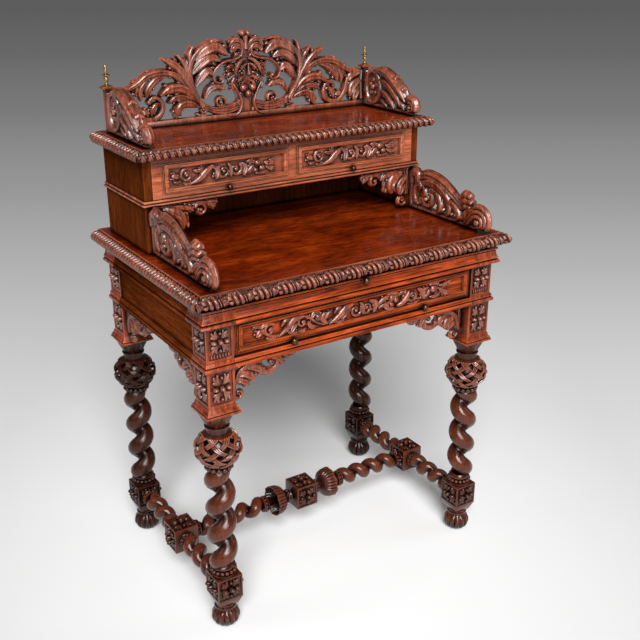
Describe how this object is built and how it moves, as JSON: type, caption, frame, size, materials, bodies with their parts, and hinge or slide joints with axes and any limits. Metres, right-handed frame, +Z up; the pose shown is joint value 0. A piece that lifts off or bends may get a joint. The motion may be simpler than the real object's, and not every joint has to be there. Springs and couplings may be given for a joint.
{
  "type": "writing table",
  "caption": "Carved oak writing table on barley-twist legs, with a frieze drawer, a pull-out writing slide, a raised case of small drawers and a pierced gallery.",
  "frame": {"origin": "on the floor under the middle of the tabletop", "axes": "+X across the front to the sitter's right, -Y to the sitter, +Z up"},
  "size_m": [0.772, 0.53, 1.1799],
  "materials": {
    "carved_oak": "dark polished oak",
    "top_oak": "worn polished oak",
    "plain_oak": "unpolished oak",
    "bronze": "dark aged bronze",
    "brass": "aged brass"
  },
  "bodies": {
    "table": {"apron_back": "plain_oak", "apron_left": "carved_oak", "apron_right": "carved_oak", "case_back": "carved_oak", "case_brackets": "carved_oak", "case_divider": "carved_oak", "case_floor": "carved_oak", "case_guides": "plain_oak", "case_moulding": "carved_oak", "case_side_left": "carved_oak", "case_side_right": "carved_oak", "case_stiles": "carved_oak", "console_left": "carved_oak", "console_right": "carved_oak", "drawer_runners": "plain_oak", "finials": "brass", "front_brackets": "carved_oak", "front_rail": "carved_oak", "front_stiles": "carved_oak", "gallery_back": "carved_oak", "gallery_posts": "carved_oak", "gallery_wings": "carved_oak", "leg_back_left": "carved_oak", "leg_back_right": "carved_oak", "leg_front_left": "carved_oak", "leg_front_right": "carved_oak", "post_back_left": "carved_oak", "post_back_right": "carved_oak", "post_front_left": "carved_oak", "post_front_right": "carved_oak", "side_brackets": "carved_oak", "side_cornices": "carved_oak", "slide_bearers": "plain_oak", "slide_rail": "plain_oak", "stretcher_cross": "carved_oak", "stretcher_left": "carved_oak", "stretcher_right": "carved_oak", "tabletop": "top_oak", "tabletop_edging": "carved_oak", "upper_edging": "carved_oak", "upper_top": "top_oak"},
    "frieze_drawer": {"frieze_drawer_back": "plain_oak", "frieze_drawer_bottom": "plain_oak", "frieze_drawer_front": "carved_oak", "frieze_drawer_knobs": "bronze", "frieze_drawer_sides": "plain_oak"},
    "writing_slide": {"slide_board": "top_oak", "slide_front": "carved_oak", "slide_knob": "bronze"},
    "left_drawer": {"left_drawer_back": "plain_oak", "left_drawer_bottom": "plain_oak", "left_drawer_front": "carved_oak", "left_drawer_knob": "bronze", "left_drawer_sides": "plain_oak"},
    "right_drawer": {"right_drawer_back": "plain_oak", "right_drawer_bottom": "plain_oak", "right_drawer_front": "carved_oak", "right_drawer_knob": "bronze", "right_drawer_sides": "plain_oak"}
  },
  "joints": [
    {"name": "frieze_drawer_slide", "type": "slide", "parent": "table", "child": "frieze_drawer", "axis": [0, -1, 0], "range_m": [0, 0.3]},
    {"name": "writing_slide_slide", "type": "slide", "parent": "table", "child": "writing_slide", "axis": [0, -1, 0], "range_m": [0, 0.25]},
    {"name": "left_drawer_slide", "type": "slide", "parent": "table", "child": "left_drawer", "axis": [0, -1, 0], "range_m": [0, 0.14]},
    {"name": "right_drawer_slide", "type": "slide", "parent": "table", "child": "right_drawer", "axis": [0, -1, 0], "range_m": [0, 0.14]}
  ]
}
